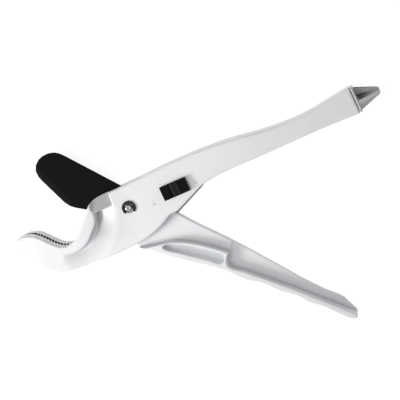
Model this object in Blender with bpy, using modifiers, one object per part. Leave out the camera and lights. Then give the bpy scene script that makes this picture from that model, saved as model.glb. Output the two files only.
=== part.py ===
"""One-hand cutter for plastic pipe, with a pipe reamer in the end of its fixed handle.

The tool lies flat on its side: +X runs from the jaw to the handle ends, +Y is the side of the
fixed handle, +Z points up out of the near cheek.  The pivot axis is parallel to Z.  Shapes are
written in millimetres about the pivot, with z = 0 at the middle plane of the tool.
"""
import bpy
import bmesh
import math
from mathutils import Matrix, Vector

MM = 0.001

# ------------------------------------------------------------------ driving dimensions (mm)
PIVOT = (-37.33, -5.33, 8.0)        # pivot axis in the part's frame, z of the middle plane
BODY_HALF = 8.0                   # half thickness of the fixed body
CAVITY_HALF = 5.0                 # half width of the space between the cheeks
BLADE_SLOT_HALF = 1.5             # half width of the slot the blade runs in
BLADE_HALF = 1.0                  # half thickness of the blade
HEAD_HALF = 3.95                  # half thickness of the lever head
HEAD_R = 11.5                     # radius of the lever head
WEB_HALF = 1.9                    # half thickness of the lever's upper web
GRIP_WEB_HALF = 1.2               # half thickness of the web in the grip
FLANGE_HALF = 7.0                 # half thickness of crescent and grip
PIN_R = 3.0                       # pivot pin
BUSH_R = 4.2                      # outside of the bush
SWING = 40.0                      # degrees the lever turns from open to closed
LOCK_POS = (28.5, 12.8)           # centre of the lock button when unlocked
LOCK_ANGLE = 25.0                 # direction of the lock's travel
LOCK_TRAVEL = 4.5
REAMER_POS = (133.5, 67.4)        # middle of the fixed handle's end face
REAMER_ANGLE = 26.1                # square to the end face
REAMER_TILT = -3.0                 # the wings lean a little towards the lever
SEAT = (-42.3, -12.4)             # centre of the pipe seat
RIM_R = 18.8                      # outside radius of the raised rim round the seat

# ------------------------------------------------------------------ clean start
for obj in list(bpy.data.objects):
    bpy.data.objects.remove(obj, do_unlink=True)
for coll in list(bpy.data.collections):
    bpy.data.collections.remove(coll)

parts = bpy.data.collections.new("pipe_cutter")
cutters = bpy.data.collections.new("cutters")
bpy.context.scene.collection.children.link(parts)
bpy.context.scene.collection.children.link(cutters)


# ------------------------------------------------------------------ helpers
def empty(name, location, angle=0.0):
    e = bpy.data.objects.new(name, None)
    e.empty_display_size = 0.01
    e.location = Vector(location) * MM
    e.rotation_euler = (0.0, 0.0, math.radians(angle))
    parts.objects.link(e)
    return e


def material(name, colour, rough, metal=0.0):
    m = bpy.data.materials.new(name)
    m.use_nodes = True
    b = m.node_tree.nodes["Principled BSDF"]
    b.inputs["Base Color"].default_value = (*colour, 1.0)
    b.inputs["Roughness"].default_value = rough
    b.inputs["Metallic"].default_value = metal
    m.diffuse_color = (*colour, 1.0)
    return m


def finish(obj, mat, parent, smooth_angle=30.0):
    obj.data.materials.clear()
    obj.data.materials.append(mat)
    obj.parent = parent
    obj.data.shade_smooth()
    obj.data.set_sharp_from_angle(angle=math.radians(smooth_angle))
    return obj


def new_object(name, mesh, cutter=False):
    obj = bpy.data.objects.new(name, mesh)
    (cutters if cutter else parts).objects.link(obj)
    if cutter:
        obj.hide_render = True
        obj.display_type = 'WIRE'
    return obj


def flow(points, step=3.0):
    """Closed smooth outline through the points. A point with a third entry is a corner, and a run
    between two corners is straight."""
    n = len(points)
    out = []
    for i in range(n):
        p0, p1, p2, p3 = (points[(i + k) % n] for k in (-1, 0, 1, 2))
        a, b = Vector(p1[:2]), Vector(p2[:2])
        c1, c2 = len(p1) > 2, len(p2) > 2
        length = (b - a).length
        if c1 and c2:
            out.append(a)
            continue
        prev = a - (b - a) if c1 else Vector(p0[:2])
        nxt = b + (b - a) if c2 else Vector(p3[:2])
        la, lb = max((a - prev).length, 1e-6), max((nxt - b).length, 1e-6)
        ta = ((a - prev) / la * length + (b - a) / length * la) / (la + length) * length
        tb = ((b - a) / length * lb + (nxt - b) / lb * length) / (lb + length) * length
        k = max(1, int(round(length / step)))
        for j in range(k):
            t = j / k
            h = ((2 * t ** 3 - 3 * t ** 2 + 1) * a + (t ** 3 - 2 * t ** 2 + t) * ta
                 + (-2 * t ** 3 + 3 * t ** 2) * b + (t ** 3 - t ** 2) * tb)
            out.append(h)
    return out


def arc(cx, cy, r, a0, a1, n):
    return [(cx + r * math.cos(math.radians(a0 + (a1 - a0) * i / n)),
             cy + r * math.sin(math.radians(a0 + (a1 - a0) * i / n))) for i in range(n + 1)]


def plate(name, points, z0, z1, edge=0.0, holes=(), cutter=False, segments=2):
    """Flat outline filled and extruded from z0 to z1, with its edges rounded by edge."""
    cu = bpy.data.curves.new(name + "_outline", 'CURVE')
    cu.dimensions = '2D'
    cu.fill_mode = 'BOTH'
    cu.extrude = ((z1 - z0) / 2 - edge) * MM
    cu.bevel_depth = edge * MM
    cu.bevel_resolution = max(0, segments - 1)
    cu.offset = -edge * MM
    for loop in (points,) + tuple(holes):
        sp = cu.splines.new('POLY')
        sp.points.add(len(loop) - 1)
        for q, p in zip(sp.points, loop):
            q.co = (p[0] * MM, p[1] * MM, 0.0, 1.0)
        sp.use_cyclic_u = True
    tmp = bpy.data.objects.new(name + "_tmp", cu)
    bpy.context.scene.collection.objects.link(tmp)
    bpy.context.view_layer.update()
    dg = bpy.context.evaluated_depsgraph_get()
    me = bpy.data.meshes.new_from_object(tmp.evaluated_get(dg))
    bpy.data.objects.remove(tmp, do_unlink=True)
    bm = bmesh.new()
    bm.from_mesh(me)
    bmesh.ops.remove_doubles(bm, verts=bm.verts, dist=2e-6)
    bmesh.ops.translate(bm, verts=bm.verts, vec=(0, 0, (z0 + z1) / 2 * MM))
    bmesh.ops.recalc_face_normals(bm, faces=bm.faces)
    bm.to_mesh(me)
    bm.free()
    me.name = name
    return new_object(name, me, cutter)


def drum(name, x, y, r0, r1, z0, z1, seg=32, cutter=False):
    """Cylinder or cone about a line parallel to Z, radius r0 at z0 and r1 at z1."""
    bm = bmesh.new()
    bmesh.ops.create_cone(bm, cap_ends=True, segments=seg, radius1=r0 * MM, radius2=r1 * MM,
                          depth=(z1 - z0) * MM)
    bmesh.ops.translate(bm, verts=bm.verts, vec=(x * MM, y * MM, (z0 + z1) / 2 * MM))
    me = bpy.data.meshes.new(name)
    bm.to_mesh(me)
    bm.free()
    return new_object(name, me, cutter)


def block(name, size, centre, cutter=False, edge=0.0):
    bm = bmesh.new()
    bmesh.ops.create_cube(bm, size=1.0)
    bmesh.ops.scale(bm, verts=bm.verts, vec=[s * MM for s in size])
    bmesh.ops.translate(bm, verts=bm.verts, vec=[c * MM for c in centre])
    me = bpy.data.meshes.new(name)
    bm.to_mesh(me)
    bm.free()
    obj = new_object(name, me, cutter)
    if edge:
        bev = obj.modifiers.new("edge", 'BEVEL')
        bev.width = edge * MM
        bev.segments = 2
    return obj


def turned(name, profile, seg=32, cutter=False):
    """Profile of (radius, z) points turned about Z, from the top down on its outer side."""
    me = bpy.data.meshes.new(name)
    bm = bmesh.new()
    vs = [bm.verts.new((r * MM, 0.0, z * MM)) for r, z in profile]
    for a, b in zip(vs, vs[1:]):
        bm.edges.new((a, b))
    if profile[0][0] > 0 and profile[-1][0] > 0:
        bm.edges.new((vs[-1], vs[0]))
    bm.to_mesh(me)
    bm.free()
    obj = new_object(name, me, cutter)
    s = obj.modifiers.new("turn", 'SCREW')
    s.axis = 'Z'
    s.steps = s.render_steps = seg
    s.use_merge_vertices = True
    s.merge_threshold = 1e-6
    s.use_smooth_shade = True
    return obj


def cut(obj, tool, operation='DIFFERENCE'):
    b = obj.modifiers.new(tool.name, 'BOOLEAN')
    b.object = tool
    b.operation = operation
    b.solver = 'EXACT'
    return obj


def carried(tool, parent):
    tool.parent = parent
    return tool


# ------------------------------------------------------------------ materials
white = material("white_paint", (0.80, 0.81, 0.83), 0.34)
black_blade = material("black_coating", (0.012, 0.012, 0.013), 0.42, 0.3)
black_plastic = material("black_plastic", (0.015, 0.015, 0.016), 0.5)
steel = material("steel", (0.55, 0.55, 0.56), 0.28, 1.0)
dark_steel = material("dark_steel", (0.07, 0.07, 0.08), 0.35, 0.9)
zinc = material("zinc", (0.42, 0.43, 0.44), 0.45, 0.8)
bronze = material("bronze", (0.50, 0.33, 0.16), 0.4, 1.0)

frame = empty("tool_frame", PIVOT)
swing = empty("pivot_axis", PIVOT)
lock_x, lock_y = LOCK_POS
lock = empty("lock_axis", (PIVOT[0] + lock_x, PIVOT[1] + lock_y, PIVOT[2]), LOCK_ANGLE)
ream = empty("reamer_axis", (PIVOT[0] + REAMER_POS[0], PIVOT[1] + REAMER_POS[1], PIVOT[2]),
             REAMER_ANGLE)

# ------------------------------------------------------------------ fixed body
body_line = [
    (-73.4, -25.6), (-72.2, -28.6), (-67.6, -30.8), (-65.0, -35.2), (-59.9, -38.4),
    (-54.8, -40.7), (-49.5, -42.5), (-44.6, -43.1), (-38.2, -41.9), (-31.7, -39.5),
    (-25.2, -36.9), (-18.8, -34.2), (-8.0, -29.6), (2.1, -24.3), (7.2, -21.2), (12.8, -17.2),
    (16.6, -13.9), (19.7, -10.8), (22.8, -6.9), (25.6, -3.2), (27.6, -2.2), (30.2, -1.1, 1),
    (43.6, 14.05, 1), (45.6, 15.9), (49.7, 18.7), (55.7, 22.2), (61.6, 25.1), (67.6, 27.9),
    (79.4, 33.4), (91.0, 39.0), (102.6, 44.6), (114.1, 50.1), (125.4, 55.1), (137.0, 60.2, 1),
    (129.8, 74.9, 1), (119.3, 68.2), (113.7, 64.5), (102.3, 57.7), (90.8, 52.5), (79.2, 48.3),
    (67.4, 44.7), (55.6, 40.9), (43.6, 36.2), (31.6, 31.0), (19.4, 25.2), (7.1, 18.8),
    (-2.9, 13.7), (-11.6, 9.5), (-17.9, 6.7), (-22.8, 3.7), (-25.6, 0.7), (-27.0, -2.6),
    (-28.3, -6.9), (-30.1, -11.9), (-31.8, -16.2), (-33.9, -20.4), (-36.8, -24.1),
    (-40.3, -26.2), (-44.3, -26.4), (-49.4, -24.9), (-56.1, -21.9), (-60.6, -20.4),
    (-65.0, -20.4), (-70.4, -22.0), (-72.8, -23.4)]
fixed_body = plate("fixed_body", flow(body_line, 3.2), -BODY_HALF, BODY_HALF, edge=0.9)

# space between the cheeks, open along the underside of the handle
cavity_line = (
    [(p[0], p[1], 1) for p in arc(0, 0, HEAD_R + 0.8, 70, 215, 14)]
    + [(-4.5, -18.0, 1), (0.2, -34.0, 1), (40.0, -34.0, 1), (125.0, 20.0, 1),
       (112.0, 49.6, 1), (112.0, 59.2, 1), (102.6, 54.2), (92.0, 49.2), (80.0, 44.9),
       (68.0, 41.3), (56.5, 37.7), (45.0, 33.0), (33.0, 27.6), (20.5, 21.5), (10.0, 15.8, 1)])
cavity = plate("cavity_cut", flow(cavity_line, 4.0), -CAVITY_HALF, CAVITY_HALF, cutter=True)
cut(fixed_body, carried(cavity, frame))

# slot that the blade runs in, through the crest of the seat
slot_line = [
    (-68.5, -10.0, 1), (-68.5, -22.6, 1), (-66.5, -25.2), (-60.0, -27.0), (-51.0, -30.4),
    (-44.0, -31.8), (-34.0, -31.4), (-24.0, -28.2), (-14.0, -23.0), (-6.0, -17.5, 1),
    (0.0, -9.0, 1), (8.0, 0.0, 1), (6.0, 8.0, 1), (4.0, 24.0, 1), (-20.0, 24.0, 1)]
blade_slot = plate("blade_slot_cut", flow(slot_line, 5.0), -BLADE_SLOT_HALF, BLADE_SLOT_HALF,
                   cutter=True)
cut(fixed_body, carried(blade_slot, frame))


# ribs across the seat, so that the pipe doesn't turn
seat_run = [(-62.0, -20.35), (-60.6, -20.4), (-56.1, -21.9), (-49.4, -24.9), (-44.3, -26.4),
            (-39.6, -26.1)]
seat_len = [0.0]
for a, b in zip(seat_run, seat_run[1:]):
    seat_len.append(seat_len[-1] + math.hypot(b[0] - a[0], b[1] - a[1]))
RIBS = 12
for k in range(RIBS):
    t = seat_len[-1] * (k + 0.5) / RIBS
    i = max(j for j in range(len(seat_run) - 1) if seat_len[j] <= t)
    f = (t - seat_len[i]) / (seat_len[i + 1] - seat_len[i])
    (ax, ay), (bx, by) = seat_run[i], seat_run[i + 1]
    g = block("seat_rib_cut_%02d" % k, (1.05, 2.0, 13.4), (0, 0, 0), cutter=True)
    g.data.transform(Matrix.Translation(((ax + (bx - ax) * f) * MM, (ay + (by - ay) * f + 0.35) * MM, 0))
                     @ Matrix.Rotation(math.atan2(by - ay, bx - ax), 4, 'Z'))
    cut(fixed_body, carried(g, frame))


# scooped hollow behind the rim, on both cheeks: a shallow bowl about the seat's centre
def scoop(side):
    deep, width = 4.6, 15.0
    top = BODY_HALF + 3.0
    prof = [(RIM_R, top), (RIM_R, BODY_HALF - deep + 0.5), (RIM_R + 0.5, BODY_HALF - deep)]
    for i in range(1, 9):
        t = i / 8.0
        prof.append((RIM_R + 0.5 + width * t,
                     BODY_HALF - deep * (1 - t) ** 1.7 * (1 + 0.5 * t) + 0.02 * t))
    prof.append((RIM_R + 0.5 + width, top))
    prof = prof[::-1]
    me = bpy.data.meshes.new("scoop")
    bm = bmesh.new()
    a0, a1, n = -116.0, 32.0, 30
    rows = []
    for k in range(n + 1):
        a = math.radians(a0 + (a1 - a0) * k / n)
        # the hollow runs out towards the underside of the jaw
        fade = min(1.0, max(0.0, (math.degrees(a) + 100.0) / 62.0))
        fade = fade * fade * (3 - 2 * fade)
        # and the rim widens towards the ramp
        flare = min(1.0, max(0.0, (math.degrees(a) + 18.0) / 40.0))
        flare = 3.3 * flare * flare * (3 - 2 * flare)
        row = []
        for r, z in prof:
            r = r + flare
            zz = z if z > BODY_HALF + 1 else BODY_HALF - (BODY_HALF - z) * fade + 0.35 * (1 - fade)
            row.append(bm.verts.new(((SEAT[0] + r * math.cos(a)) * MM,
                                     (SEAT[1] + r * math.sin(a)) * MM, zz * side * MM)))
        rows.append(row)
    m = len(prof)
    for k in range(n):
        for j in range(m):
            q = (rows[k][j], rows[k][(j + 1) % m], rows[k + 1][(j + 1) % m], rows[k + 1][j])
            bm.faces.new(q)
    bm.faces.new(rows[0][::-1])
    bm.faces.new(rows[-1])
    bmesh.ops.recalc_face_normals(bm, faces=bm.faces)
    bm.to_mesh(me)
    bm.free()
    return new_object("scoop_cut_%s" % ("near" if side > 0 else "far"), me, True)


# region in which the hollow may lie: below the edge of the ramp
hollow_zone = [(-30.0, -8.0, 1), (-21.9, -4.2, 1), (-10.2, 1.3, 1), (4.0, -2.0, 1),
               (4.0, -50.0, 1), (-60.0, -50.0, 1), (-60.0, -8.0, 1)]
for side in (1, -1):
    s = scoop(side)
    zone = plate("hollow_zone_%d" % (side + 1), flow(hollow_zone), side * 9.5 - 10,
                 side * 9.5 + 10, cutter=True)
    cut(s, carried(zone, frame), 'INTERSECT')
    cut(fixed_body, carried(s, frame))


# flat ramp above the hollow, falling towards the blade
def wedge(name, line, hinge_a, hinge_b, slope, side, lift=0.0):
    """Cutter over the outline whose floor starts at the body's face on the line a-b and falls
    away from it by slope."""
    ax, ay = hinge_a
    bx, by = hinge_b
    dx, dy = bx - ax, by - ay
    ln = math.hypot(dx, dy)
    nx, ny = -dy / ln, dx / ln
    bm = bmesh.new()
    low, high = [], []
    for p in line:
        d = max(0.0, (p[0] - ax) * nx + (p[1] - ay) * ny)
        low.append(bm.verts.new((p[0] * MM, p[1] * MM, side * (BODY_HALF + lift - slope * d) * MM)))
        high.append(bm.verts.new((p[0] * MM, p[1] * MM, side * (BODY_HALF + 4.0) * MM)))
    n = len(line)
    for i in range(n):
        bm.faces.new((low[i], low[(i + 1) % n], high[(i + 1) % n], high[i]))
    bm.faces.new(low)
    bm.faces.new(high)
    bmesh.ops.recalc_face_normals(bm, faces=bm.faces)
    me = bpy.data.meshes.new(name)
    bm.to_mesh(me)
    bm.free()
    return new_object(name, me, True)


ramp_line = [(-13.8, 12.0), (-13.3, 8.9), (-10.3, 1.4), (-15.6, -0.9), (-21.9, -4.3),
             (-23.9, -2.2), (-24.7, 0.2), (-24.6, 3.4), (-21.5, 7.5), (-17.0, 11.0)]
under_line = [(-36.5, -30.8), (-42.4, -33.2), (-50.9, -32.6), (-57.0, -30.2), (-60.7, -26.0),
              (-64.7, -26.9), (-74.5, -28.6), (-74.5, -50.0), (-33.0, -50.0)]
for side in (1, -1):
    tag = "near" if side > 0 else "far"
    r = wedge("ramp_cut_" + tag, ramp_line, (-21.9, -4.6), (-11.9, -3.6), 0.34, side, 0.1)
    cut(fixed_body, carried(r, frame))
    u = wedge("underside_cut_" + tag, under_line, (-33.0, -43.5), (-70.0, -37.5), -0.07, side)
    cut(fixed_body, carried(u, frame))

# holes: pin, pin head, lock slot, reamer shank and its screw
cut(fixed_body, carried(drum("pin_bore_cut", 0, 0, 3.05, 3.05, -12, 12, cutter=True), frame))
cut(fixed_body, carried(drum("pin_head_cut", 0, 0, 5.4, 5.4, -12, -6.5, cutter=True), frame))
slot_half, slot_w = 5.7, 1.8
slot_mid = -LOCK_TRAVEL / 2
stadium = (arc(slot_mid + slot_half - slot_w, 0, slot_w, -90, 90, 8)
           + arc(slot_mid - slot_half + slot_w, 0, slot_w, 90, 270, 8))
cut(fixed_body, carried(plate("lock_slot_cut", stadium, 3.0, 10.0, cutter=True), lock))


def along_x(name, r, x0, x1, seg=28, r1=None):
    o = drum(name, 0, 0, r, r if r1 is None else r1, x0, x1, seg=seg, cutter=True)
    o.data.transform(Matrix.Rotation(math.radians(90), 4, 'Y'))
    return o


cut(fixed_body, carried(along_x("shank_cut", 4.8, -13.0, 4.0), ream))
cut(fixed_body, carried(along_x("shank_screw_cut", 2.3, -32.0, -8.0), ream))
cut(fixed_body, carried(along_x("screw_seat_cut", 3.9, -36.0, -19.9), ream))
finish(fixed_body, white, frame)

# ------------------------------------------------------------------ lever
web_line = (
    [(p[0], p[1], 1) for p in arc(0, 0, HEAD_R, 20, 222, 22)]
    + [(-3.6, -14.0), (0.6, -20.0), (3.6, -25.6, 1), (9.4, -26.1), (12.5, -26.9), (18.7, -28.6),
       (24.9, -30.2), (31.1, -31.6), (37.3, -33.0), (43.5, -34.2), (49.6, -35.4), (55.8, -36.8),
       (61.9, -38.9), (68.1, -41.7), (73.0, -43.3), (80.3, -44.3), (85.1, -46.0), (89.4, -48.0),
       (93.1, -49.4), (98.5, -50.4), (102.2, -51.5), (105.8, -53.2), (110.1, -55.6),
       (113.7, -56.3), (116.7, -57.1), (122.8, -59.4), (128.9, -62.0), (134.9, -64.3),
       (138.0, -64.5), (139.8, -62.8), (139.2, -60.2), (137.4, -58.4), (134.4, -55.7),
       (131.0, -52.6), (128.0, -51.1), (122.4, -49.2), (116.3, -46.8), (110.2, -43.9),
       (104.1, -41.0), (98.0, -37.7), (91.9, -34.5), (85.7, -31.3), (79.6, -28.1),
       (73.5, -24.9), (67.3, -21.8), (62.4, -19.4), (55.0, -16.1), (48.9, -13.4),
       (42.7, -10.6), (36.6, -7.7), (29.4, -4.0, 1)])
lever = plate("lever", flow(web_line, 3.4), -WEB_HALF, WEB_HALF, edge=0.4, segments=1)
lever_web = flow(web_line, 3.4)

# the grip's web is a little thinner than the web next to the pivot
grip_zone = [(62.9, -12.0, 1), (62.3, -23.0, 1), (60.6, -27.5, 1), (60.6, -33.0, 1),
             (63.0, -36.4, 1), (80.2, -42.0, 1), (104.5, -50.0, 1), (128.7, -58.6, 1),
             (142.0, -63.5, 1), (150.0, -50.0, 1), (110.0, -20.0, 1)]
for side in (1, -1):
    z0, z1 = sorted((side * GRIP_WEB_HALF, side * 12.0))
    cut(lever, carried(plate("grip_web_cut_%d" % (side + 1), flow(grip_zone), z0, z1,
                             cutter=True), swing))

# round head between the cheeks, split by the blade, with a lug for the lock
head_line = (
    [(p[0], p[1], 1) for p in arc(0, 0, HEAD_R, 2, -32, 5)]
    + [(17.6, -9.6, 1)]
    + [(p[0], p[1], 1) for p in arc(0, 0, 20.3, -34, -86, 8)]
    + [(-3.2, -13.6, 1)]
    + [(p[0], p[1], 1) for p in arc(0, 0, HEAD_R, -116, -270, 16)]
    + [(p[0], p[1], 1) for p in arc(0, 0, 8.3, 74, 6, 8)])
head = plate("lever_head_add", flow(head_line), -HEAD_HALF, HEAD_HALF, edge=0.3, segments=1,
             cutter=True)
cut(lever, carried(head, swing), 'UNION')

# crescent boss and grip flange, full width
boss_line = [
    (4.2, -25.4, 1), (8.5, -25.2), (13.0, -24.2), (21.9, -21.7), (27.0, -20.7), (31.2, -20.4),
    (37.3, -20.8), (43.5, -21.7), (49.6, -22.9), (55.7, -24.5), (60.9, -26.2, 1), (59.9, -32.4),
    (61.2, -34.9), (68.0, -36.8), (80.2, -40.5), (92.4, -44.4), (104.5, -48.5), (116.6, -52.9),
    (128.7, -57.2), (136.0, -60.0), (139.3, -61.4), (139.6, -63.4), (138.0, -64.5), (134.9, -64.3),
    (128.9, -62.0), (122.8, -59.4), (116.7, -57.1), (113.7, -56.3), (110.1, -55.6),
    (105.8, -53.2), (102.2, -51.5), (98.5, -50.4), (93.1, -49.4), (89.4, -48.0), (85.1, -46.0),
    (80.3, -44.3), (73.0, -43.3), (68.1, -41.7), (61.9, -38.9), (55.8, -36.8), (49.6, -35.4),
    (43.5, -34.2), (37.3, -33.0), (31.1, -31.6), (24.9, -30.2), (18.7, -28.6), (12.5, -26.9),
    (8.5, -26.2)]
boss = plate("lever_boss_add", flow(boss_line, 3.4), -FLANGE_HALF, FLANGE_HALF, edge=0.8,
             cutter=True, segments=2)
cut(lever, carried(boss, swing), 'UNION')

pocket_line = [(20.6, -23.5), (20.3, -24.9), (22.2, -25.9), (30.0, -27.5), (40.0, -29.6),
               (50.0, -31.8), (56.4, -33.2), (58.1, -32.2), (58.6, -29.5), (58.4, -27.6),
               (55.2, -26.4), (49.4, -24.8), (43.2, -23.5), (37.2, -22.7), (31.2, -22.3),
               (26.0, -22.5)]
for side in (1, -1):
    z0, z1 = sorted((side * WEB_HALF, side * 12.0))
    cut(lever, carried(plate("boss_pocket_cut_%d" % (side + 1), flow(pocket_line, 2.6), z0, z1,
                             cutter=True), swing))

# slot for the blade, bore for the bush, pocket for the spring, notch for the lock
fork_line = ([(p[0], p[1], 1) for p in arc(0, 0, HEAD_R + 0.9, -118, 96, 22)]
             + [(-8.0, 22.0, 1), (-40.0, 22.0, 1), (-40.0, -14.0, 1)])
cut(lever, carried(plate("fork_cut", flow(fork_line), -BLADE_HALF - 0.25, BLADE_HALF + 0.25,
                         cutter=True), swing))
cut(lever, carried(drum("bush_bore_cut", 0, 0, BUSH_R + 0.15, BUSH_R + 0.15, -8, 8,
                        cutter=True), swing))
cut(lever, carried(drum("spring_pocket_cut", 0, 0, 6.7, 6.7, -8, -2.35, cutter=True), swing))
leg_gate = [(0.0, 0.0)] + arc(0, 0, 16.0, 96, 186, 8)
cut(lever, carried(plate("spring_gate_cut", leg_gate, -8.0, -2.35, cutter=True), swing))
notch_dir = LOCK_ANGLE - SWING
notch_side = lock_y * math.cos(math.radians(LOCK_ANGLE)) - lock_x * math.sin(math.radians(LOCK_ANGLE))
notch = block("lock_notch_cut", (6.0, 3.9, 4.0), (12.3, notch_side, 3.3), cutter=True)
notch.data.transform(Matrix.Rotation(math.radians(notch_dir), 4, 'Z'))
cut(lever, carried(notch, swing))

# screw and dowel holes that clamp the blade's tang
SCREWS = [(8.5, -62.0), (8.5, 150.0)]
DOWEL = (8.6, -118.0)
polar = lambda r, a: (r * math.cos(math.radians(a)), r * math.sin(math.radians(a)))
for i, (r, a) in enumerate(SCREWS):
    x, y = polar(r, a)
    cut(lever, carried(drum("screw_hole_cut_%d" % i, x, y, 1.5, 1.5, -3.2, 8, 20, True), swing))
    cut(lever, carried(drum("screw_head_cut_%d" % i, x, y, 2.6, 2.6, 2.5, 8, 20, True), swing))
x, y = polar(*DOWEL)
cut(lever, carried(drum("dowel_hole_cut", x, y, 1.3, 1.3, -3.0, 8, 16, True), swing))
finish(lever, white, swing)

# ------------------------------------------------------------------ blade
blade_line = [
    (-60.6, 19.6), (-60.2, 23.4), (-58.5, 26.7), (-55.9, 29.1), (-52.6, 30.8), (-48.8, 31.5),
    (-45.4, 31.0), (-42.8, 29.9), (-38.1, 27.6, 1), (-7.2, 12.2, 1), (0.0, 10.4), (7.4, 7.3),
    (10.4, 0.0), (7.4, -7.4), (0.0, -10.4), (-7.4, -8.6), (-18.0, -5.6, 1), (-29.5, -3.7),
    (-37.7, -2.3), (-40.4, -1.3), (-42.9, 0.2), (-45.0, 2.2, 1), (-57.2, 13.7, 1),
    (-58.9, 15.7)]
blade = plate("blade", flow(blade_line, 3.0), -BLADE_HALF, BLADE_HALF)

# two ground bevels along the cutting edge
EDGE_A, EDGE_B = Vector((-58.6, 15.0)), Vector((-43.4, 0.7))
for side in (1, -1):
    d = (EDGE_B - EDGE_A).normalized()
    n = Vector((d.y, -d.x))
    if n.y > 0:
        n = -n
    bm = bmesh.new()
    land, width = 0.15, 4.6
    ring = []
    for s in (-6.0, (EDGE_B - EDGE_A).length + 4.0):
        c = EDGE_A + d * s
        for off, z in ((0.3, land), (-width, BLADE_HALF + 0.02), (-width, 3.0), (0.3 + 2, 3.0),
                       (2.3, land)):
            p = c + n * off
            ring.append(bm.verts.new((p.x * MM, p.y * MM, side * z * MM)))
    for j in range(5):
        k = (j + 1) % 5
        bm.faces.new((ring[j], ring[k], ring[k + 5], ring[j + 5]))
    bm.faces.new(ring[:5])
    bm.faces.new(ring[5:])
    bmesh.ops.recalc_face_normals(bm, faces=bm.faces)
    me = bpy.data.meshes.new("grind")
    bm.to_mesh(me)
    bm.free()
    cut(blade, carried(new_object("grind_cut_%d" % (side + 1), me, True), swing))
cut(blade, carried(drum("blade_bore_cut", 0, 0, BUSH_R + 0.15, BUSH_R + 0.15, -4, 4,
                        cutter=True), swing))
for i, (r, a) in enumerate(SCREWS):
    x, y = polar(r, a)
    cut(blade, carried(drum("blade_screw_cut_%d" % i, x, y, 1.5, 1.5, -4, 4, 20, True), swing))
x, y = polar(*DOWEL)
cut(blade, carried(drum("blade_dowel_cut", x, y, 1.3, 1.3, -4, 4, 16, True), swing))
finish(blade, black_blade, swing)

# ------------------------------------------------------------------ pivot
pin = turned("pivot_pin", [(0, 9.3), (0.55, 9.35), (0.8, 9.7), (1.5, 9.65), (2.0, 9.4), (2.2, 9.1),
                           (2.2, 8.9), (1.6, 8.9), (1.6, 8.0), (PIN_R - 0.25, 8.0),
                           (PIN_R - 0.05, 7.8), (PIN_R - 0.05, -6.75), (5.0, -6.75),
                           (5.1, -6.9), (5.1, -7.7), (4.8, -8.0), (0, -8.0)])
finish(pin, steel, frame)

# E-clip: a wide ring, open for 84 degrees, with three lugs that reach the neck of the pin
CLIP_OPEN = -76.0
c = CLIP_OPEN
clip_line = (arc(0, 0, 4.4, c + 46, c + 314, 30)
             + arc(0, 0, 3.6, c + 318, c + 318, 1)[:1] + arc(0, 0, 2.7, c + 314, c + 296, 2)
             + arc(0, 0, 1.8, c + 292, c + 262, 3) + arc(0, 0, 2.7, c + 256, c + 204, 5)
             + arc(0, 0, 1.8, c + 198, c + 162, 4) + arc(0, 0, 2.7, c + 156, c + 104, 5)
             + arc(0, 0, 1.8, c + 98, c + 68, 3) + arc(0, 0, 2.7, c + 64, c + 46, 2)
             + arc(0, 0, 3.6, c + 42, c + 42, 1)[:1])
clip = plate("pivot_e_clip", clip_line, 8.15, 8.75)
finish(clip, dark_steel, frame)


def ring(name, r_in, r_out, z0, z1, mat, parent, seg=32):
    o = turned(name, [(r_in, z1), (r_out, z1), (r_out, z0), (r_in, z0)], seg)
    return finish(o, mat, parent)


ring("pivot_bush", PIN_R + 0.05, BUSH_R, -3.9, 3.9, bronze, swing)
ring("thrust_washer_near", PIN_R + 0.15, 7.6, 4.15, 4.8, bronze, frame)
ring("thrust_washer_far", PIN_R + 0.15, 4.9, -4.8, -4.15, bronze, frame)

# torsion spring round the bush, in the far side of the lever head
turns, pitch, wire_r, coil_r = 1.75, 0.86, 0.36, 5.6
pts = []
steps = 42
for i in range(steps + 1):
    a = math.radians(140.0 - 360.0 * turns * i / steps)
    pts.append((coil_r * math.cos(a), coil_r * math.sin(a), -4.35 + pitch * turns * i / steps))
a = math.radians(140.0)
lead = [(coil_r * math.cos(a) + t * 0.2 + (-0.2) * t, coil_r * math.sin(a), -4.35)
        for t in ()]
radial = Vector((math.cos(a), math.sin(a)))
tangent = Vector((-math.sin(a), math.cos(a)))
for s, b in ((1.0, 0.15), (2.2, 0.7), (3.6, 1.9), (5.0, 3.4)):
    q = radial * (coil_r + b) + tangent * s
    lead.append((q.x, q.y, -4.35))
route = lead[::-1] + pts
cu = bpy.data.curves.new("opening_spring_wire", 'CURVE')
cu.dimensions = '3D'
cu.bevel_depth = wire_r * MM
cu.bevel_resolution = 2
cu.use_fill_caps = True
sp = cu.splines.new('POLY')
sp.points.add(len(route) - 1)
for q, p in zip(sp.points, route):
    q.co = (p[0] * MM, p[1] * MM, p[2] * MM, 1.0)
tmp = bpy.data.objects.new("spring_tmp", cu)
bpy.context.scene.collection.objects.link(tmp)
bpy.context.view_layer.update()
me = bpy.data.meshes.new_from_object(tmp.evaluated_get(bpy.context.evaluated_depsgraph_get()))
bpy.data.objects.remove(tmp, do_unlink=True)
bm = bmesh.new()
bm.from_mesh(me)
bmesh.ops.remove_doubles(bm, verts=bm.verts, dist=2e-6)
bmesh.ops.recalc_face_normals(bm, faces=bm.faces)
bm.to_mesh(me)
bm.free()
finish(new_object("opening_spring", me), steel, frame, 60)

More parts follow.
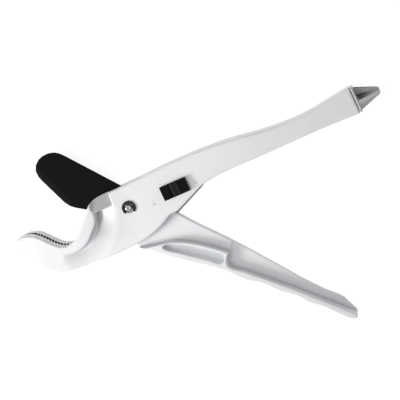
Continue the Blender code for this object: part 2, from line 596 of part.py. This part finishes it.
# ------------------------------------------------------------------ blade fasteners
for name, (r, a) in zip(("blade_screw_front", "blade_screw_rear"), SCREWS):
    x, y = polar(r, a)
    s = turned(name, [(0, 3.85), (2.0, 3.85), (2.2, 3.65), (2.2, 2.75), (1.2, 2.75), (1.2, -2.9),
                      (0, -2.9)], 20)
    s.location = (x * MM, y * MM, 0)
    finish(s, dark_steel, swing)
x, y = polar(*DOWEL)
d = turned("blade_dowel", [(0, 3.6), (0.9, 3.6), (1.05, 3.4), (1.05, -2.6), (0.9, -2.75), (0, -2.75)],
           16)
d.location = (x * MM, y * MM, 0)
finish(d, steel, swing)

# ------------------------------------------------------------------ lock slide (local +X = travel)
top, sole, half_len = 10.55, 8.25, 8.45
profile = [(-half_len, sole), (half_len, sole), (half_len, top - 0.35), (half_len - 0.25, top)]
for k in range(6):
    gx = 7.55 - 0.88 * k
    profile += [(gx + 0.24, top), (gx + 0.16, top - 0.5), (gx - 0.16, top - 0.5), (gx - 0.24, top)]
profile += [(2.3, top), (1.9, top - 0.3), (-0.9, top - 0.3), (-3.0, top - 1.0), (-3.25, top)]
for k in range(4):
    gx = -3.85 - 1.18 * k
    profile += [(gx + 0.34, top), (gx + 0.24, top - 0.6), (gx - 0.24, top - 0.6), (gx - 0.34, top)]
profile += [(-half_len + 0.25, top), (-half_len, top - 0.35)]
button = plate("lock_button", profile, -4.4, 4.4)
button.data.transform(Matrix.Rotation(math.radians(90), 4, 'X'))
shank_line = [(-2.0, -1.5), (2.0, -1.5), (2.0, 1.5), (-2.0, 1.5)]
cut(button, carried(plate("button_shank_add", shank_line, 5.0, 9.0, cutter=True), lock), 'UNION')
cut(button, carried(drum("button_screw_cut", 0, 0, 1.0, 1.0, 3.0, 8.4, 16, True), lock))
finish(button, black_plastic, lock)

r_lock = math.hypot(lock_x, lock_y)
nose = r_lock - 14.4            # reach of the catch towards the pivot
catch_line = [(5.5, -3.2), (5.5, 3.2), (-5.0, 3.2), (-8.5, 1.5), (-nose, 1.5), (-nose, -1.5),
              (-8.5, -1.5), (-5.0, -3.2)]
catch = plate("lock_catch", catch_line, 2.35, 3.85, edge=0.2, segments=1)
cut(catch, carried(drum("catch_hole_cut", 0, 0, 1.1, 1.1, 0, 6, 20, True), lock))
cut(catch, carried(drum("catch_sink_cut", 0, 0, 2.75, 1.45, 2.1, 3.45, 20, True), lock))
finish(catch, dark_steel, lock)
ls = turned("lock_screw", [(0, 7.6), (0.75, 7.6), (0.75, 3.3), (1.9, 2.6), (1.9, 2.4), (0, 2.4)], 20)
finish(ls, steel, lock)
fw = ring("lock_friction_washer", 2.95, 4.3, 4.1, 4.75, steel, lock, 24)

# ------------------------------------------------------------------ stop strip
# soft strip inside the far cheek, which the lever's crescent meets when the tool is closed
strip_line = [(26.5, -4.4), (27.5, -5.2), (28.9, -3.9), (30.75, -1.75, 1), (44.1, 13.4, 1),
              (44.6, 14.9), (43.4, 15.3), (29.3, -0.7, 1), (27.2, -2.7)]
strip = plate("stop_strip", flow(strip_line, 2.0), -4.7, -2.3, edge=0.25, segments=1)
finish(strip, black_plastic, frame)

# ------------------------------------------------------------------ reamer (local +X = its axis)
def wing_ring(x, r, deep, flat, tilt):
    """Four wings of radius r about the X axis. Towards the fixed handle's side each one has a
    deep flute, of radius deep, and towards the lever a flat one, of radius flat."""
    out = []
    for k, (f1, f2) in enumerate(((deep, deep), (flat, flat), (flat, flat), (deep, deep))):
        a = 90.0 * k
        g = (deep, flat, flat, deep)[k]
        for da, rr in ((-9.0, r * 0.985), (7.0, r), (24.0 if g == deep else 45.0, g * (1.25 if g == deep else 1.0)),
                       (62.0 if g == deep else 60.0, g * (1.25 if g == deep else 1.04))):
            t = math.radians(a + da)
            out.append((x, rr * math.cos(t) + tilt * x, rr * math.sin(t)))
    return out


bm = bmesh.new()
rows = []
lean = math.tan(math.radians(REAMER_TILT))
for x, r in ((1.2, 7.1), (2.6, 6.9), (6.0, 5.6), (10.0, 4.1), (13.4, 2.8), (14.7, 2.2), (15.2, 1.3)):
    rows.append([bm.verts.new((p[0] * MM, p[1] * MM, p[2] * MM))
                 for p in wing_ring(x, r, max(0.8, r * 0.24), r * 0.68, lean)])
m = len(rows[0])
for a, b in zip(rows, rows[1:]):
    for j in range(m):
        bm.faces.new((a[j], a[(j + 1) % m], b[(j + 1) % m], b[j]))
bm.faces.new(rows[0])
bm.faces.new(rows[-1])
bmesh.ops.recalc_face_normals(bm, faces=bm.faces)
me = bpy.data.meshes.new("reamer")
bm.to_mesh(me)
bm.free()
reamer = new_object("reamer", me)


def x_add(name, r, x0, x1, seg=28, r1=None):
    o = along_x(name, r, x0, x1, seg, r1)
    return carried(o, ream)


flange = block("reamer_flange_add", (1.3, 15.4, 15.2), (0.98, 0, 0), cutter=True, edge=0.3)
cut(reamer, carried(flange, ream), 'UNION')
cut(reamer, x_add("reamer_shank_add", 4.5, -12.7, 1.0), 'UNION')
cut(reamer, x_add("reamer_thread_cut", 1.6, -16.0, -3.0, 16))
finish(reamer, zinc, ream)

bolt = turned("reamer_screw", [(0, 1.6), (2.5, 1.4), (2.8, 0.9), (2.8, 0.0), (1.35, 0.0),
                               (1.35, -15.4), (0, -15.4)], 20)
bolt.rotation_euler = (0, math.radians(-90), 0)
bolt.location = (-21.2 * MM, 0, 0)
finish(bolt, steel, ream)
rw = turned("reamer_screw_washer", [(1.6, 0.8), (3.6, 0.8), (3.6, 0.0), (1.6, 0.0)], 24)
rw.rotation_euler = (0, math.radians(-90), 0)
rw.location = (-20.15 * MM, 0, 0)
finish(rw, steel, ream)

bpy.context.view_layer.update()
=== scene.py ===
"""Looks for the one-hand pipe cutter: camera, light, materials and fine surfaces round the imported
frame.  The castings, the blade, the slide, the clip, the pin and the reamer get finer meshes with
cast, moulded or ground edges; every other node keeps its mesh and gets a procedural material."""
import math

import bmesh
import bpy
import numpy as np
from mathutils import Matrix, Vector


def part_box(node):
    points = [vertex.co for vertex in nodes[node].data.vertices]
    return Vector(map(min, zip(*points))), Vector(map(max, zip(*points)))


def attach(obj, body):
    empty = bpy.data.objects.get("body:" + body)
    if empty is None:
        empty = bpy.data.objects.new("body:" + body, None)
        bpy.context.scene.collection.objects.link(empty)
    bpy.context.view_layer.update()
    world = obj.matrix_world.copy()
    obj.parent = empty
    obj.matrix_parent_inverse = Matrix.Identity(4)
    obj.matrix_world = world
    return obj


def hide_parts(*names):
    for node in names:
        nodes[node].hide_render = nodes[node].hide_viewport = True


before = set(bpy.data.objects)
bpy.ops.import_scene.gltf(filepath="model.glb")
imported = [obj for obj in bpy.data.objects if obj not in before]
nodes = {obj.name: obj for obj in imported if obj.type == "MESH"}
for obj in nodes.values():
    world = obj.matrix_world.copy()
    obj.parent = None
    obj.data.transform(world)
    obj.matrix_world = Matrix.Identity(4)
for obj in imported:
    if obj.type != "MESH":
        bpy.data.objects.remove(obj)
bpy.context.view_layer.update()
scene = bpy.context.scene
MM = 0.001

# The pivot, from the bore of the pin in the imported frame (metres)
lo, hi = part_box("pivot_pin")
PIVOT = Vector(((lo.x + hi.x) / 2, (lo.y + hi.y) / 2, 0.008))

# ---------------------------------------------------------------- camera
cam_data = bpy.data.cameras.new("camera")
cam = bpy.data.objects.new("camera", cam_data)
scene.collection.objects.link(cam)
CAM_POS = PIVOT + Vector((0.13059, 0.13380, 0.5878))
CAM_AIM = PIVOT + Vector((0.04363, 0.00626, 0.0080))
cam.location = CAM_POS
look = (CAM_AIM - CAM_POS).normalized()
right = look.cross(Vector((0, 1, 0))).normalized()
up = right.cross(look)
cam.rotation_euler = Matrix((right, up, -look)).transposed().to_euler()
cam_data.sensor_width = 36.0
cam_data.lens = 90.0
cam_data.clip_start = 0.01
scene.camera = cam

# ---------------------------------------------------------------- light
scene.view_settings.view_transform = 'Standard'
scene.view_settings.look = 'None'
scene.view_settings.exposure = 0.0
world = bpy.data.worlds.new("studio")
scene.world = world
world.use_nodes = True
wt = world.node_tree
bg = wt.nodes["Background"]
bg.inputs["Color"].default_value = (0.975, 0.985, 1.0, 1.0)
# a wide soft surround, brighter low on the left than high on the right
coord = wt.nodes.new("ShaderNodeTexCoord")
side = wt.nodes.new("ShaderNodeVectorMath")
side.operation = 'DOT_PRODUCT'
side.inputs[1].default_value = (0.25, -0.80, 0.54)
wt.links.new(coord.outputs["Generated"], side.inputs[0])
grade = wt.nodes.new("ShaderNodeMapRange")
grade.inputs["From Min"].default_value = -1.0
grade.inputs["From Max"].default_value = 1.0
grade.inputs["To Min"].default_value = 0.16
grade.inputs["To Max"].default_value = 0.50
wt.links.new(side.outputs["Value"], grade.inputs["Value"])
wt.links.new(grade.outputs["Result"], bg.inputs["Strength"])


def area(name, loc, aim, size, power, colour=(1, 1, 1)):
    l = bpy.data.lights.new(name, 'AREA')
    l.shape = 'RECTANGLE'
    l.size, l.size_y = size
    l.energy = power
    l.color = colour
    o = bpy.data.objects.new(name, l)
    scene.collection.objects.link(o)
    o.location = loc
    o.rotation_euler = (Vector(aim) - Vector(loc)).to_track_quat('-Z', 'Y').to_euler()
    return o


area("key", PIVOT + Vector((-0.60, -0.33, 0.38)), PIVOT, (0.26, 0.26), 5.2, (1.0, 0.998, 0.99))
area("front", PIVOT + Vector((-0.15, -0.05, 0.45)), PIVOT, (0.30, 0.30), 0.62, (0.99, 0.995, 1.0))


# ---------------------------------------------------------------- node helpers
class Paint:
    """A material and short calls for its nodes."""

    def __init__(self, name, rough=0.4, metal=0.0):
        self.m = bpy.data.materials.new(name)
        self.m.use_nodes = True
        self.t = self.m.node_tree
        self.b = self.t.nodes["Principled BSDF"]
        self.b.inputs["Roughness"].default_value = rough
        self.b.inputs["Metallic"].default_value = metal
        self.co = self.t.nodes.new("ShaderNodeTexCoord").outputs["Object"]

    def link(self, a, b):
        self.t.links.new(a, b)

    def scaled(self, vec):
        n = self.t.nodes.new("ShaderNodeMapping")
        n.inputs["Scale"].default_value = vec
        self.link(self.co, n.inputs["Vector"])
        return n.outputs["Vector"]

    def noise(self, scale, detail=3.0, rough=0.5, vec=None, distort=0.0):
        n = self.t.nodes.new("ShaderNodeTexNoise")
        n.inputs["Scale"].default_value = scale
        n.inputs["Detail"].default_value = detail
        n.inputs["Roughness"].default_value = rough
        n.inputs["Distortion"].default_value = distort
        self.link(vec if vec is not None else self.co, n.inputs["Vector"])
        return n.outputs["Fac"]

    def cells(self, scale, feature='F1', vec=None):
        n = self.t.nodes.new("ShaderNodeTexVoronoi")
        n.feature = feature
        n.inputs["Scale"].default_value = scale
        self.link(vec if vec is not None else self.co, n.inputs["Vector"])
        return n.outputs["Distance"]

    def ramp(self, fac, stops):
        n = self.t.nodes.new("ShaderNodeValToRGB")
        el = n.color_ramp.elements
        while len(el) < len(stops):
            el.new(0.5)
        for e, (p, c) in zip(el, stops):
            e.position = p
            e.color = (*c, 1.0) if len(c) == 3 else c
        self.link(fac, n.inputs["Fac"])
        return n.outputs["Color"]

    def span(self, fac, a0, a1, b0, b1):
        n = self.t.nodes.new("ShaderNodeMapRange")
        n.inputs["From Min"].default_value = a0
        n.inputs["From Max"].default_value = a1
        n.inputs["To Min"].default_value = b0
        n.inputs["To Max"].default_value = b1
        self.link(fac, n.inputs["Value"])
        return n.outputs["Result"]

    def mix(self, fac, a, b):
        n = self.t.nodes.new("ShaderNodeMix")
        n.data_type = 'RGBA'
        self.link(fac, n.inputs["Factor"])
        for sock, v in ((n.inputs[6], a), (n.inputs[7], b)):
            if isinstance(v, tuple):
                sock.default_value = (*v, 1.0)
            else:
                self.link(v, sock)
        return n.outputs[2]

    def maths(self, op, a, b=None):
        n = self.t.nodes.new("ShaderNodeMath")
        n.operation = op
        for i, v in enumerate((a, b)):
            if v is None:
                continue
            if isinstance(v, (int, float)):
                n.inputs[i].default_value = v
            else:
                self.link(v, n.inputs[i])
        return n.outputs[0]

    def edge(self, lo_, hi_):
        """0 on flats and 1 on convex edges, from the mesh's own pointiness."""
        g = self.t.nodes.new("ShaderNodeNewGeometry")
        return self.span(g.outputs["Pointiness"], lo_, hi_, 0.0, 1.0)

    def bump(self, *layers):
        """layers of (height socket, strength, distance in metres), each on top of the last."""
        prev = None
        for h, s, d in layers:
            n = self.t.nodes.new("ShaderNodeBump")
            n.inputs["Strength"].default_value = s
            n.inputs["Distance"].default_value = d
            self.link(h, n.inputs["Height"])
            if prev is not None:
                self.link(prev, n.inputs["Normal"])
            prev = n.outputs["Normal"]
        self.link(prev, self.b.inputs["Normal"])

    def colour(self, sock):
        self.link(sock, self.b.inputs["Base Color"])

    def rough(self, sock):
        self.link(sock, self.b.inputs["Roughness"])


# white powder coat on a zinc casting: fine orange peel, slightly cool white, faint handling marks
def white_coat(name="white_powder_coat", k=1.0, rim_shade=False):
    p = Paint(name)
    peel = p.noise(900.0, 2.0, 0.45)
    soft = p.noise(38.0, 3.0, 0.5)
    grime = p.noise(140.0, 5.0, 0.62)
    tone = p.ramp(soft, [(0.3, (0.785 * k, 0.79 * k, 0.80 * k)), (0.7, (0.825 * k, 0.83 * k, 0.838 * k))])
    marks = p.ramp(grime, [(0.66, (0, 0, 0)), (0.80, (1, 1, 1))])
    tone = p.mix(p.maths('MULTIPLY', marks, 0.10), tone, (0.55, 0.55, 0.54))
    if rim_shade:
        # painted shade: the coat is mixed towards grey in the hollow behind the rim of the seat, where the
        # rim's shadow falls
        sep = p.t.nodes.new("ShaderNodeSeparateXYZ")
        p.link(p.co, sep.inputs["Vector"])
        depth = p.maths('ABSOLUTE', p.maths('SUBTRACT', sep.outputs["Z"], 0.008))
        low = p.span(depth, 0.0072, 0.0084, 1.0, 0.72)
        flat = p.t.nodes.new("ShaderNodeNewGeometry")
        nrm = p.t.nodes.new("ShaderNodeSeparateXYZ")
        p.link(flat.outputs["Normal"], nrm.inputs["Vector"])
        facing = p.span(p.maths('ABSOLUTE', nrm.outputs["Z"]), 0.45, 0.75, 0.0, 1.0)
        near = p.t.nodes.new("ShaderNodeVectorMath")
        near.operation = 'DISTANCE'
        near.inputs[1].default_value = PIVOT + Vector((-42.3, -12.4, 0.0)) * MM
        p.link(p.co, near.inputs[0])
        ring_in = p.span(near.outputs["Value"], 0.0212, 0.0222, 0.0, 1.0)
        ring_out = p.span(near.outputs["Value"], 0.0235, 0.0365, 1.0, 0.0)
        ring_out = p.maths('POWER', ring_out, 0.8)
        shade_fade = p.span(near.outputs["Value"], 0.036, 0.050, 0.22, 0.0)
        right_side = p.maths('MULTIPLY', p.span(sep.outputs["X"], PIVOT.x - 0.040, PIVOT.x - 0.024, 0.0, 1.0),
                             p.span(sep.outputs["Y"], PIVOT.y - 0.034, PIVOT.y - 0.016, 0.0, 1.0))
        shade_mask = p.maths('MULTIPLY', p.maths('MULTIPLY', low, facing),
                       p.maths('MULTIPLY', p.maths('MULTIPLY', ring_in, ring_out), right_side))
        shade_mask = p.maths('MAXIMUM', p.maths('MULTIPLY', shade_mask, 0.84),
                       p.maths('MULTIPLY', p.maths('MULTIPLY', shade_fade, right_side), facing))
        tone = p.mix(shade_mask, tone, (0.36, 0.365, 0.37))
    p.colour(tone)
    p.rough(p.span(p.noise(70.0, 4.0, 0.6), 0.3, 0.7, 0.33, 0.45))
    p.bump((soft, 0.05, 0.0004), (peel, 0.16, 0.00006))
    p.b.inputs["Coat Weight"].default_value = 0.12
    p.b.inputs["Coat Roughness"].default_value = 0.22
    return p.m


# black low-friction coating over ground steel
def blade_coat():
    p = Paint("black_blade_coating", metal=0.0)
    streak = p.noise(260.0, 4.0, 0.6, vec=p.scaled((1.0, 0.12, 1.0)))
    speck = p.noise(1400.0, 2.0, 0.5)
    p.colour(p.ramp(streak, [(0.25, (0.0025, 0.0026, 0.0027)), (0.75, (0.0050, 0.0052, 0.0054))]))
    p.rough(p.span(streak, 0.3, 0.7, 0.48, 0.62))
    p.bump((streak, 0.10, 0.00004), (speck, 0.12, 0.00004))
    p.b.inputs["Specular IOR Level"].default_value = 0.05
    return p.m


# moulded black plastic with a spark-eroded grain
def plastic():
    p = Paint("black_moulded_plastic")
    grain = p.cells(1900.0)
    broad = p.noise(120.0, 3.0, 0.5)
    p.colour(p.ramp(broad, [(0.3, (0.006, 0.006, 0.0065)), (0.7, (0.010, 0.010, 0.0105))]))
    p.rough(p.span(broad, 0.3, 0.7, 0.50, 0.62))
    p.bump((grain, 0.22, 0.00005))
    p.b.inputs["Specular IOR Level"].default_value = 0.10
    return p.m


def turned_steel():
    p = Paint("bright_turned_steel", metal=1.0)
    n = p.t.nodes.new("ShaderNodeTexNoise")
    rings = p.noise(2600.0, 2.0, 0.5, vec=p.scaled((1, 1, 0.05)))
    stain = p.noise(260.0, 4.0, 0.6)
    p.t.nodes.remove(n)
    p.colour(p.ramp(stain, [(0.3, (0.24, 0.24, 0.25)), (0.7, (0.36, 0.36, 0.37))]))
    p.rough(p.span(rings, 0.3, 0.7, 0.22, 0.36))
    p.bump((rings, 0.12, 0.00003))
    return p.m


def dark_spring_steel():
    p = Paint("black_oxide_steel", metal=0.3)
    tex = p.noise(900.0, 4.0, 0.6)
    p.colour(p.ramp(tex, [(0.3, (0.008, 0.008, 0.009)), (0.75, (0.020, 0.020, 0.022))]))
    p.rough(p.span(tex, 0.3, 0.7, 0.28, 0.45))
    p.bump((tex, 0.15, 0.00004))
    p.b.inputs["Specular IOR Level"].default_value = 0.2
    return p.m


def zinc_cast():
    p = Paint("grey_zinc_casting", metal=0.2)
    skin = p.noise(520.0, 5.0, 0.6)
    flow_ = p.noise(60.0, 3.0, 0.5, vec=p.scaled((0.35, 1.0, 1.0)))
    base = p.ramp(flow_, [(0.3, (0.50, 0.51, 0.50)), (0.7, (0.58, 0.59, 0.58))])
    base = p.mix(p.ramp(skin, [(0.60, (0, 0, 0)), (0.74, (1, 1, 1))]), base, (0.40, 0.405, 0.40))
    # painted shade: faces turned towards +y close to the flange, in the flutes, are mixed towards near black
    g = p.t.nodes.new("ShaderNodeNewGeometry")
    sep = p.t.nodes.new("ShaderNodeSeparateXYZ")
    p.link(g.outputs["Normal"], sep.inputs["Vector"])
    axis = p.t.nodes.new("ShaderNodeVectorMath")
    axis.operation = 'DOT_PRODUCT'
    a_ = math.radians(26.1)
    axis.inputs[1].default_value = (math.cos(a_), math.sin(a_), 0.0)
    base_at = p.t.nodes.new("ShaderNodeVectorMath")
    base_at.operation = 'SUBTRACT'
    base_at.inputs[1].default_value = PIVOT + Vector((133.5, 67.4, 0.0)) * MM
    p.link(p.co, base_at.inputs[0])
    p.link(base_at.outputs["Vector"], axis.inputs[0])
    along = axis.outputs["Value"]
    cross = p.t.nodes.new("ShaderNodeVectorMath")
    cross.operation = 'CROSS_PRODUCT'
    cross.inputs[1].default_value = (math.cos(a_), math.sin(a_), 0.0)
    p.link(base_at.outputs["Vector"], cross.inputs[0])
    ln = p.t.nodes.new("ShaderNodeVectorMath")
    ln.operation = 'LENGTH'
    p.link(cross.outputs["Vector"], ln.inputs[0])
    near_axis = p.span(ln.outputs["Value"], 0.0022, 0.0050, 1.0, 0.0)
    near_base = p.maths('MULTIPLY', p.span(along, 0.0016, 0.0020, 0.0, 1.0),
                        p.span(along, 0.0050, 0.0125, 1.0, 0.0))
    up_side = p.span(sep.outputs["Y"], 0.02, 0.20, 0.0, 1.0)
    flute_shade = p.maths('MULTIPLY', near_base, up_side)
    p.colour(p.mix(p.maths('MULTIPLY', flute_shade, 0.88), base, (0.03, 0.031, 0.03)))
    p.rough(p.span(skin, 0.3, 0.7, 0.36, 0.55))
    p.bump((skin, 0.25, 0.00008))
    return p.m


def sintered_bronze():
    p = Paint("sintered_bronze", metal=1.0)
    pores = p.cells(2200.0)
    p.colour(p.ramp(pores, [(0.05, (0.16, 0.09, 0.04)), (0.35, (0.52, 0.33, 0.15))]))
    p.rough(p.span(pores, 0.0, 0.5, 0.6, 0.38))
    p.bump((pores, 0.35, 0.00005))
    return p.m


def drawn_wire():
    p = Paint("spring_wire_steel", metal=1.0)
    draw = p.noise(1500.0, 3.0, 0.5, vec=p.scaled((1, 1, 0.2)))
    p.colour(p.ramp(draw, [(0.3, (0.34, 0.34, 0.35)), (0.7, (0.50, 0.50, 0.50))]))
    p.rough(p.span(draw, 0.3, 0.7, 0.25, 0.4))
    p.bump((draw, 0.12, 0.00003))
    return p.m


WHITE, BLADE, PLASTIC = white_coat(), blade_coat(), plastic()
# a darker copy (0.56) of the white coat: painted shade for the ramp facets beside the blade
SHADED_WHITE = white_coat("white_coat_painted_shade_on_ramp", 0.56)
# the body's coat carries painted shade in the hollow behind the seat rim
BODY_WHITE = white_coat("white_powder_coat_body", rim_shade=True)
# near-black paint standing in for the shade inside the blade slot
slot_shade = Paint("slot_wall_painted_shade", rough=0.7)
slot_shade.colour(slot_shade.ramp(slot_shade.noise(400.0, 3.0), [(0.3, (0.02, 0.02, 0.021)), (0.7, (0.05, 0.05, 0.052))]))
slot_shade.bump((slot_shade.noise(900.0, 2.0), 0.2, 0.00005))
STEEL, DARK, ZINC = turned_steel(), dark_spring_steel(), zinc_cast()
BRONZE, WIRE = sintered_bronze(), drawn_wire()

LOOK = {
    "fixed_body": BODY_WHITE, "lever": WHITE, "blade": BLADE, "lock_button": PLASTIC,
    "pivot_pin": STEEL, "pivot_e_clip": DARK, "pivot_bush": BRONZE,
    "stop_strip": PLASTIC, "thrust_washer_near": BRONZE, "thrust_washer_far": BRONZE, "opening_spring": WIRE,
    "blade_screw_front": DARK, "blade_screw_rear": DARK, "blade_dowel": STEEL,
    "lock_catch": DARK, "lock_screw": STEEL, "lock_friction_washer": WIRE,
    "reamer": ZINC, "reamer_screw": STEEL, "reamer_screw_washer": STEEL}
for n, o in nodes.items():
    o.data.materials.clear()
    o.data.materials.append(LOOK[n])

# ---------------------------------------------------------------- floor
bm = bmesh.new()
R = 3.0
bmesh.ops.create_grid(bm, x_segments=2, y_segments=2, size=R)
me = bpy.data.meshes.new("floor")
bm.to_mesh(me)
bm.free()
floor = bpy.data.objects.new("floor", me)
scene.collection.objects.link(floor)
floor.location.z = -0.0002
fp = Paint("studio_floor", rough=0.9)
fp.colour(fp.ramp(fp.noise(3.0, 2.0), [(0.2, (0.17, 0.172, 0.175)), (0.8, (0.19, 0.192, 0.195))]))
fp.b.inputs["Emission Color"].default_value = (1.0, 1.0, 1.0, 1.0)
fp.b.inputs["Emission Strength"].default_value = 0.91
me.materials.append(fp.m)


# ---------------------------------------------------------------- fine castings
def applied(obj):
    """The object's evaluated mesh, with its modifiers' result kept and the modifiers gone."""
    bpy.context.view_layer.update()
    dg = bpy.context.evaluated_depsgraph_get()
    me = bpy.data.meshes.new_from_object(obj.evaluated_get(dg))
    old = obj.data
    obj.modifiers.clear()
    obj.data = me
    bpy.data.meshes.remove(old)
    return obj


def neighbours(me):
    n = len(me.vertices)
    e = np.zeros(len(me.edges) * 2, np.int64)
    me.edges.foreach_get("vertices", e)
    e = e.reshape(-1, 2)
    return n, e


def relax(me, weight, passes, push=0.0):
    """Even out the surface, more where weight is 1, as paint and a worn die round a casting."""
    n, e = neighbours(me)
    co = np.zeros(n * 3)
    me.vertices.foreach_get("co", co)
    co = co.reshape(-1, 3)
    count = np.bincount(e.ravel(), minlength=n).astype(float)[:, None]
    for _ in range(passes):
        acc = np.zeros_like(co)
        for k in range(3):
            acc[:, k] = (np.bincount(e[:, 0], weights=co[e[:, 1], k], minlength=n)
                         + np.bincount(e[:, 1], weights=co[e[:, 0], k], minlength=n))
        co += (acc / count - co) * (0.5 * weight)[:, None]
        if push:
            acc = np.zeros_like(co)
            for k in range(3):
                acc[:, k] = (np.bincount(e[:, 0], weights=co[e[:, 1], k], minlength=n)
                             + np.bincount(e[:, 1], weights=co[e[:, 0], k], minlength=n))
            co -= (acc / count - co) * (push * weight)[:, None]
    me.vertices.foreach_set("co", co.ravel())
    me.update()


def coords(me):
    co = np.zeros(len(me.vertices) * 3)
    me.vertices.foreach_get("co", co)
    return co.reshape(-1, 3)


def fine_copy(node, name, voxel, passes, weight_fn, faces):
    o = bpy.data.objects.new(name, nodes[node].data.copy())
    scene.collection.objects.link(o)
    r = o.modifiers.new("remesh", 'REMESH')
    r.mode = 'VOXEL'
    r.voxel_size = voxel
    applied(o)
    co = coords(o.data)
    rel = (co - np.array(PIVOT)) / MM
    relax(o.data, weight_fn(rel), passes)
    tris = sum(len(p.vertices) - 2 for p in o.data.polygons)
    if tris > faces:
        d = o.modifiers.new("thin", 'DECIMATE')
        d.ratio = faces / tris
        applied(o)
    o.data.shade_smooth()
    o.data.materials.clear()
    o.data.materials.append(LOOK[node])
    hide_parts(node)
    return o


def body_weight(rel):
    w = np.ones(len(rel))
    x, y, z = rel.T
    ribs = (x > -64) & (x < -37.5) & (y > -29.0) & (y < -19.5)
    w[ribs] = 0.12
    return w


def even(rel):
    return np.ones(len(rel))


def facet(piece):
    """The ramp facets beside the blade get a darker copy of the white coat, painted shade; faces inside the
    blade slot get near-black paint, painted shade in the slot.
    """
    piece.data.materials.append(SHADED_WHITE)
    piece.data.materials.append(slot_shade.m)
    poly = [(-13.6, 12.5), (-13.2, 8.6), (-10.2, 1.35), (-15.6, -0.9), (-21.9, -4.4),
            (-23.6, -2.2), (-24.5, 0.2), (-24.2, 3.2), (-21.3, 7.3), (-17.0, 11.0)]
    for f in piece.data.polygons:
        nx, ny, nz = f.normal
        q = (f.center - PIVOT) / MM
        # faces inside the blade slot take the near-black painted shade
        if (abs(q.z) < 1.62 and -67.0 < q.x < -24.5 and q.y < -16.5) or (
                abs(q.z) < 1.62 and abs(nz) > 0.9 and q.x < -14.0):
            f.material_index = 2
            continue
        # painted shade: tilted faces turned towards +y inside the ramp outline take the darker copy of the
        # coat
        if not 0.80 < abs(nz) < 0.985 or ny < 0.08:
            continue
        c = (f.center - PIVOT) / MM
        inside = False
        for (x0, y0), (x1, y1) in zip(poly, poly[1:] + poly[:1]):
            if (y0 > c.y) != (y1 > c.y) and c.x < (x1 - x0) * (c.y - y0) / (y1 - y0) + x0:
                inside = not inside
        if inside:
            f.material_index = 1


# node, new piece, body, slot, voxel in metres, passes, weight, most triangles
FINE = [
    ("fixed_body", "body_casting", "body", "white_paint", 0.00030, 12, body_weight, 195000),
    ("lever", "lever_casting", "lever", "white_paint", 0.00034, 6, even, 160000),
    ("blade", "blade_coated", "lever", "black_coating", 0.00026, 5, even, 90000),
    ("lock_button", "lock_slide", "lock", "black_plastic", 0.00013, 3, even, 80000),
    ("reamer", "reamer_casting", "body", "zinc", 0.00018, 4, even, 90000),
    ("pivot_e_clip", "e_clip", "body", "dark_steel", 0.00009, 4, even, 40000),
    ("pivot_pin", "headed_pin", "body", "steel", 0.00012, 5, even, 50000),
]
for node, name, body, slot_name, voxel, passes, weight, most in FINE:
    piece = fine_copy(node, name, voxel, passes, weight, most)
    if node == "fixed_body":
        facet(piece)
    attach(piece, body)


# small generic padlock marks beside the slide, one open and one closed
def padlock(name, x, y, turn, is_open):
    bm = bmesh.new()

    def tube_loop(path, w, z0, z1):
        """A band of width w along the path, from z0 to z1."""
        left, right_ = [], []
        for i, p in enumerate(path):
            a = Vector(path[max(0, i - 1)])
            b = Vector(path[min(len(path) - 1, i + 1)])
            t = (b - a).normalized()
            nrm = Vector((-t.y, t.x)) * w / 2
            left.append(Vector(p) + nrm)
            right_.append(Vector(p) - nrm)
        ring_ = left + right_[::-1]
        low = [bm.verts.new((v.x, v.y, z0)) for v in ring_]
        high = [bm.verts.new((v.x, v.y, z1)) for v in ring_]
        n = len(path)
        m = len(ring_)
        for i in range(n - 1):
            bm.faces.new((high[i], high[i + 1], high[m - 2 - i], high[m - 1 - i]))
            bm.faces.new((low[i], low[m - 1 - i], low[m - 2 - i], low[i + 1]))
        for i in range(m):
            k = (i + 1) % m
            bm.faces.new((low[i], low[k], high[k], high[i]))

    z0, z1 = -0.05, 0.05
    lift = 0.55 if is_open else 0.0
    bow = [(-0.62, 0.1 + (0.0 if not is_open else 0.0)), (-0.62, 0.75 + lift)]
    bow += [(0.62 * math.cos(math.radians(180 - 18 * k)),
             0.75 + lift + 0.62 * math.sin(math.radians(180 - 18 * k))) for k in range(1, 10)]
    bow += [(0.62, 0.75 + lift), (0.62, 0.55 + lift if is_open else 0.1)]
    tube_loop([(p[0], p[1]) for p in bow], 0.26, z0, z1)
    box_ = [(-1.0, 0.0), (1.0, 0.0), (1.0, -1.35), (-1.0, -1.35), (-1.0, 0.0)]
    edge_ = [(-1.0, -0.0), (1.0, -0.0)]
    tube_loop([(-1.05, -0.68), (1.05, -0.68)], 1.36, z0, z1)
    for v in bm.verts:
        v.co *= MM
    bmesh.ops.rotate(bm, verts=bm.verts, matrix=Matrix.Rotation(math.radians(turn), 3, 'Z'))
    bmesh.ops.translate(bm, verts=bm.verts, vec=(PIVOT.x + x * MM, PIVOT.y + y * MM, 0.016))
    bmesh.ops.recalc_face_normals(bm, faces=bm.faces)
    me = bpy.data.meshes.new(name)
    bm.to_mesh(me)
    bm.free()
    o = bpy.data.objects.new(name, me)
    scene.collection.objects.link(o)
    me.materials.append(MARK)
    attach(o, "body")
    return o


mk = Paint("pale_grey_mark", rough=0.5)
mk.colour(mk.ramp(mk.noise(900.0, 3.0), [(0.3, (0.56, 0.57, 0.58)), (0.7, (0.66, 0.67, 0.68))]))
mk.bump((mk.noise(900.0, 2.0), 0.1, 0.00005))
MARK = mk.m
padlock("mark_open", 15.5, 3.3, 25.0, True)
padlock("mark_closed", 40.6, 17.4, 25.0, False)
